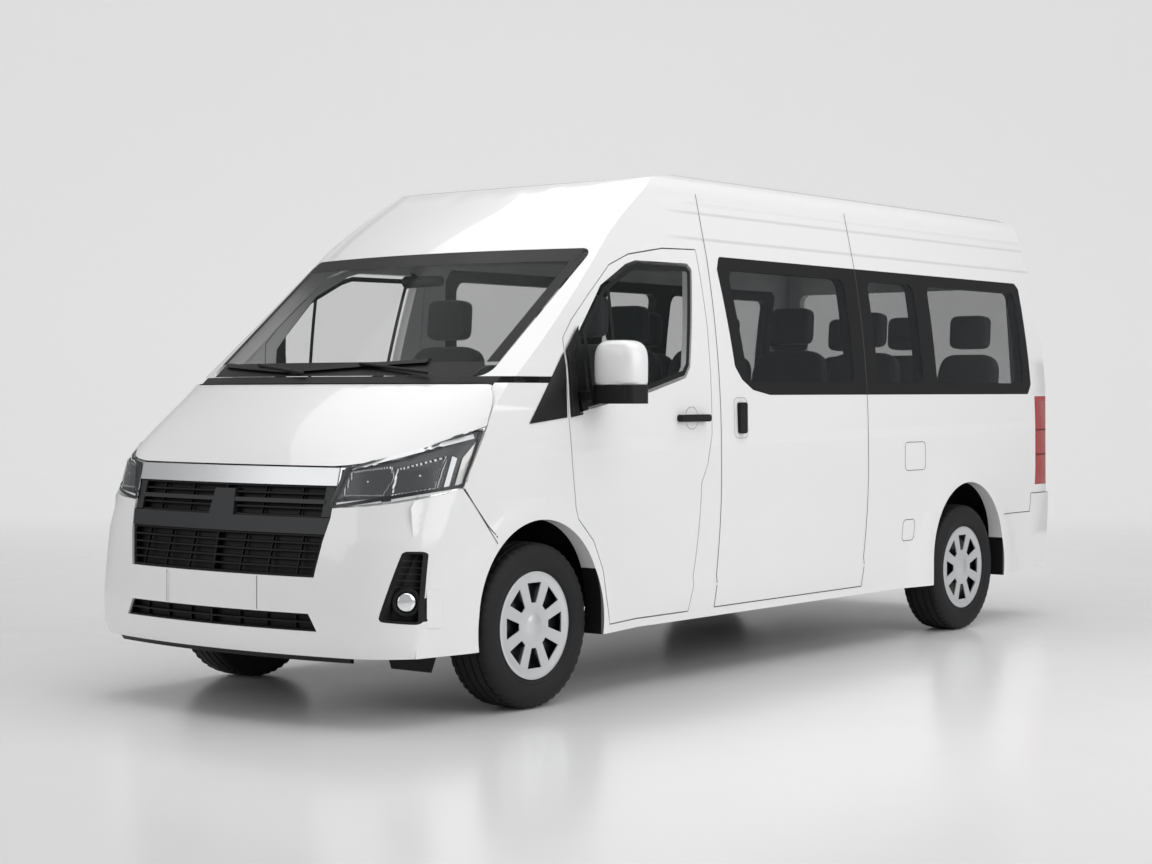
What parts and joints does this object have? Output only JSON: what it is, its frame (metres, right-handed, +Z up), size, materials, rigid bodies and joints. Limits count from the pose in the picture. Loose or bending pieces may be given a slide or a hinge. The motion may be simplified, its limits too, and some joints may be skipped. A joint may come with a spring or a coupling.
{
  "type": "passenger van",
  "caption": "Long high-roof passenger van with hinged front doors, hood and tailgate, steered front wheels, glazed sides and rows of seats.",
  "frame": {"origin": "on the ground under the middle of the overall length and width", "axes": "+X to the van's left, +Y to its rear, +Z up; the van faces -Y"},
  "size_m": [2.464, 5.9548, 2.4224],
  "materials": {
    "paint": "gloss white",
    "black_trim": "matt black plastic",
    "gloss_black": "gloss black",
    "glass": "clear tinted",
    "dark_glass": "dark tinted",
    "lens": "clear",
    "red_lens": "translucent red",
    "bright": "bright",
    "charcoal": "charcoal paint",
    "tyre": "black rubber",
    "steel_wheel": "silver paint",
    "frame_steel": "black coated",
    "alloy": "plain",
    "seat_cloth": "dark grey cloth",
    "rubber": "black"
  },
  "bodies": {
    "body": {"roof": "paint", "fenders": "paint", "side_left": "paint", "side_right": "paint", "sliding_door": "paint", "window_bands": "gloss_black", "side_glass": "dark_glass", "windscreen": "glass", "cowl": "black_trim", "sliding_handle": "black_trim", "tail_lamps": "red_lens", "bumper_front": "paint", "bumper_rear": "paint", "grille": "black_trim", "grille_bars": "charcoal", "grille_strip": "bright", "fog_housings": "black_trim", "headlamp_lenses": "lens", "headlamp_housings": "bright", "floor": "frame_steel", "arch_liners": "black_trim", "chassis": "frame_steel", "engine": "alloy", "front_suspension": "frame_steel", "rear_axle": "frame_steel", "mud_flaps": "rubber", "dashboard": "black_trim", "steering_wheel": "black_trim", "front_seats": "seat_cloth", "rear_seats": "seat_cloth", "seat_frames": "frame_steel", "wipers": "black_trim"},
    "door_left": {"door_left": "paint", "door_glass_left": "glass", "mirror_left": "black_trim", "mirror_cap_left": "paint", "handle_left": "black_trim"},
    "door_right": {"door_right": "paint", "door_glass_right": "glass", "mirror_right": "black_trim", "mirror_cap_right": "paint", "handle_right": "black_trim"},
    "hood": {"hood": "paint"},
    "tailgate": {"tailgate": "paint", "tailgate_glass": "dark_glass"},
    "knuckle_left": {"knuckle_left": "frame_steel"},
    "knuckle_right": {"knuckle_right": "frame_steel"},
    "wheel_front_left": {"wheel_front_left": "steel_wheel", "tyre_front_left": "tyre"},
    "wheel_front_right": {"wheel_front_right": "steel_wheel", "tyre_front_right": "tyre"},
    "wheel_rear_left": {"wheel_rear_left": "steel_wheel", "tyre_rear_left": "tyre"},
    "wheel_rear_right": {"wheel_rear_right": "steel_wheel", "tyre_rear_right": "tyre"}
  },
  "joints": [
    {"name": "door_left_hinge", "type": "hinge", "parent": "body", "child": "door_left", "pos_m": [0.978, -1.8015, 1], "axis": [0, 0, -1], "range_deg": [0, 65]},
    {"name": "door_right_hinge", "type": "hinge", "parent": "body", "child": "door_right", "pos_m": [-0.978, -1.8015, 1], "axis": [0, 0, 1], "range_deg": [0, 65]},
    {"name": "hood_hinge", "type": "hinge", "parent": "body", "child": "hood", "pos_m": [0, -2.1925, 1.4], "axis": [-1, 0, 0], "range_deg": [0, 50]},
    {"name": "tailgate_hinge", "type": "hinge", "parent": "body", "child": "tailgate", "pos_m": [0, 2.7905, 2.24], "axis": [1, 0, 0], "range_deg": [0, 85]},
    {"name": "steer_left", "type": "hinge", "parent": "body", "child": "knuckle_left", "pos_m": [0.76, -1.9775, 0.356], "axis": [0, 0, 1], "range_deg": [-33, 33]},
    {"name": "steer_right", "type": "hinge", "parent": "body", "child": "knuckle_right", "pos_m": [-0.76, -1.9775, 0.356], "axis": [0, 0, 1], "range_deg": [-33, 33]},
    {"name": "spin_front_left", "type": "hinge", "parent": "knuckle_left", "child": "wheel_front_left", "pos_m": [0.837, -1.9775, 0.356], "axis": [1, 0, 0], "continuous": true},
    {"name": "spin_front_right", "type": "hinge", "parent": "knuckle_right", "child": "wheel_front_right", "pos_m": [-0.837, -1.9775, 0.356], "axis": [1, 0, 0], "continuous": true},
    {"name": "spin_rear_left", "type": "hinge", "parent": "body", "child": "wheel_rear_left", "pos_m": [0.837, 1.8825, 0.356], "axis": [1, 0, 0], "continuous": true},
    {"name": "spin_rear_right", "type": "hinge", "parent": "body", "child": "wheel_rear_right", "pos_m": [-0.837, 1.8825, 0.356], "axis": [1, 0, 0], "continuous": true}
  ],
  "couplings": [
    {"joint": "steer_right", "follows": "steer_left", "ratio": 1}
  ]
}
